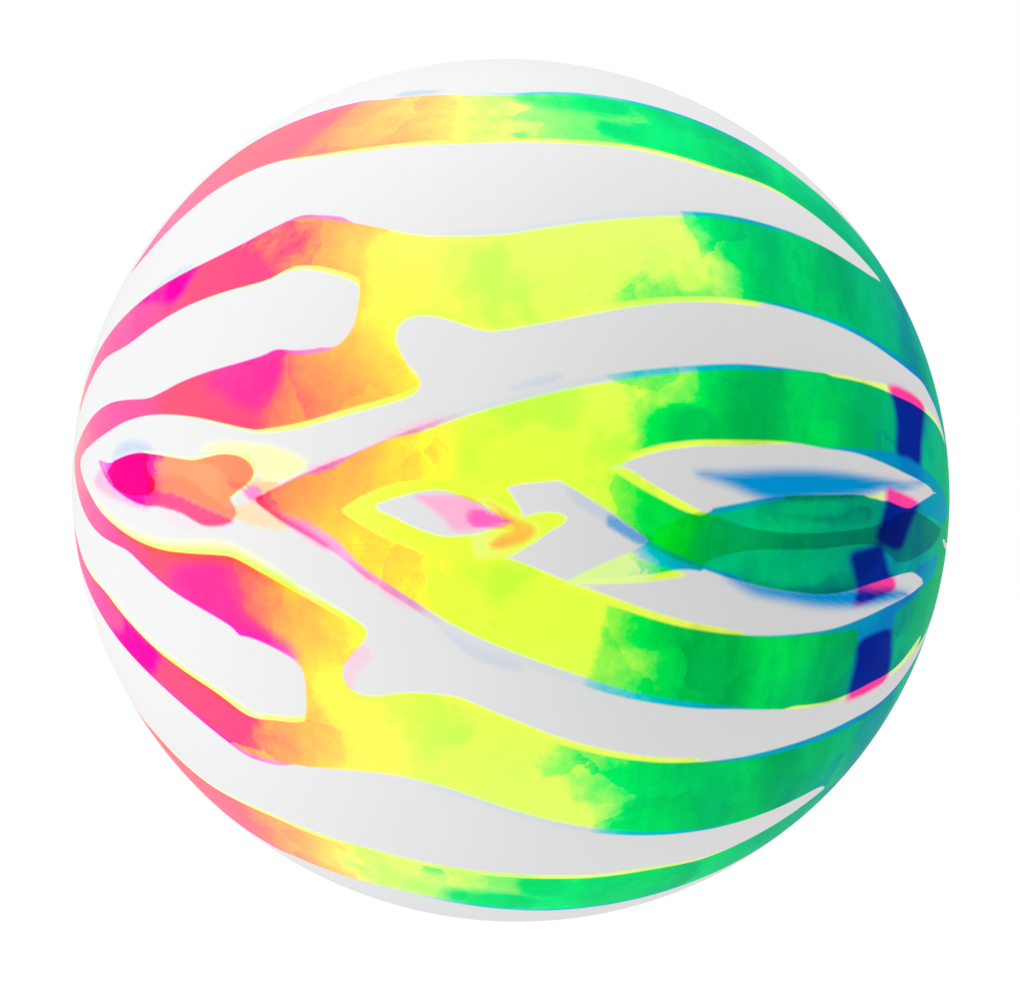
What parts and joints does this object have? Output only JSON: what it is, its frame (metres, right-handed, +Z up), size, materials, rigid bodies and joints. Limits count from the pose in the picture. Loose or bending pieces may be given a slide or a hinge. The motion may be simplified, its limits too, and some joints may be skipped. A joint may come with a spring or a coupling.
{
  "type": "inflatable play ball",
  "caption": "Seamless blown-up ball in thin printed vinyl, with a flush valve closed by a pull-out plug.",
  "frame": {"origin": "the ball's centre", "axes": "+Z up, +Y out through the valve, +X level and to the right of someone facing the side opposite the valve; the long axis dips 20.2 degrees below +X"},
  "size_m": [0.233, 0.2282, 0.2286],
  "materials": {
    "printed_vinyl": "white vinyl with a satin shine, printed with neon rainbow bands in transparent inks",
    "valve_vinyl": "natural soft vinyl, satin",
    "plug_plastic": "white moulded plastic, smooth"
  },
  "bodies": {
    "ball": {"ball_skin": "printed_vinyl", "valve_base": "valve_vinyl"},
    "plug": {"valve_plug": "plug_plastic"}
  },
  "joints": [
    {"name": "plug_pull", "type": "slide", "parent": "ball", "child": "plug", "axis": [0, 1, 0], "range_m": [0, 0.03]}
  ]
}
